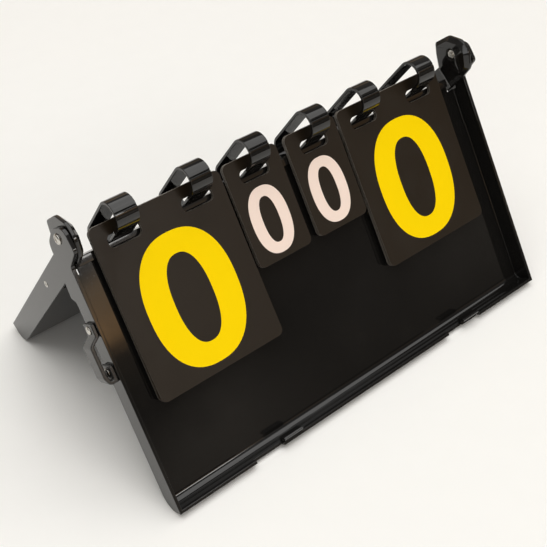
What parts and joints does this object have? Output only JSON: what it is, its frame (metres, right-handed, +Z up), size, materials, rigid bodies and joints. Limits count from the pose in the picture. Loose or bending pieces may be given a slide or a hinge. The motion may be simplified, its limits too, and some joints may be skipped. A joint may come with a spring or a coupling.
{
  "type": "flip scoreboard",
  "caption": "Folding tabletop flip scoreboard standing as an A-frame: black tray with hinged rear tray, number cards on hook rings, large yellow and small white zeros.",
  "frame": {"origin": "middle of the line where the board's rounded lower corner touches the table", "axes": "+X to the right seen from the front, +Y to the back, +Z up"},
  "size_m": [0.3964, 0.2437, 0.1953],
  "materials": {
    "black_plastic": "glossy moulded black plastic",
    "steel": "plated steel hardware",
    "card": "satin black plastic card",
    "yellow_print": "flat yellow screen print",
    "white_print": "flat off-white screen print"
  },
  "bodies": {
    "board": {"front_board": "black_plastic", "top_rail": "black_plastic", "bolt_left": "steel", "bolt_right": "steel", "washer_left": "steel", "washer_right": "steel", "nut_left": "steel", "nut_right": "steel", "ring_1": "black_plastic", "ring_2": "black_plastic", "ring_3": "black_plastic", "ring_4": "black_plastic", "ring_5": "black_plastic", "ring_6": "black_plastic", "rail_screw_1": "steel", "rail_screw_2": "steel", "rail_screw_3": "steel", "rail_screw_4": "steel", "handle": "black_plastic", "handle_screw_upper": "steel", "handle_screw_lower": "steel", "latch_left": "black_plastic", "latch_right": "black_plastic", "big_left_card_2": "card", "big_left_card_3": "card", "big_left_card_4": "card", "small_left_card_2": "card", "small_left_card_3": "card", "small_left_card_4": "card", "small_right_card_2": "card", "small_right_card_3": "card", "small_right_card_4": "card", "big_right_card_2": "card", "big_right_card_3": "card", "big_right_card_4": "card"},
    "rear_tray": {"lid": "black_plastic", "lid_screw_left": "steel", "lid_screw_right": "steel"},
    "big_left_front_card": {"big_left_card_1": "card", "digit_big_left": "yellow_print"},
    "small_left_front_card": {"small_left_card_1": "card", "digit_small_left": "white_print"},
    "small_right_front_card": {"small_right_card_1": "card", "digit_small_right": "white_print"},
    "big_right_front_card": {"big_right_card_1": "card", "digit_big_right": "yellow_print"}
  },
  "joints": [
    {"name": "lid_hinge", "type": "hinge", "parent": "board", "child": "rear_tray", "pos_m": [0, 0.1074, 0.18063], "axis": [1, 0, 0], "range_deg": [0, 290]},
    {"name": "big_left_flip", "type": "hinge", "parent": "board", "child": "big_left_front_card", "pos_m": [-0.1135, 0.11484, 0.17434], "axis": [-1, 0, 0], "range_deg": [0, 125]},
    {"name": "small_left_flip", "type": "hinge", "parent": "board", "child": "small_left_front_card", "pos_m": [-0.0295, 0.11484, 0.17434], "axis": [-1, 0, 0], "range_deg": [0, 125]},
    {"name": "small_right_flip", "type": "hinge", "parent": "board", "child": "small_right_front_card", "pos_m": [0.0295, 0.11484, 0.17434], "axis": [-1, 0, 0], "range_deg": [0, 125]},
    {"name": "big_right_flip", "type": "hinge", "parent": "board", "child": "big_right_front_card", "pos_m": [0.1135, 0.11484, 0.17434], "axis": [-1, 0, 0], "range_deg": [0, 125]}
  ]
}
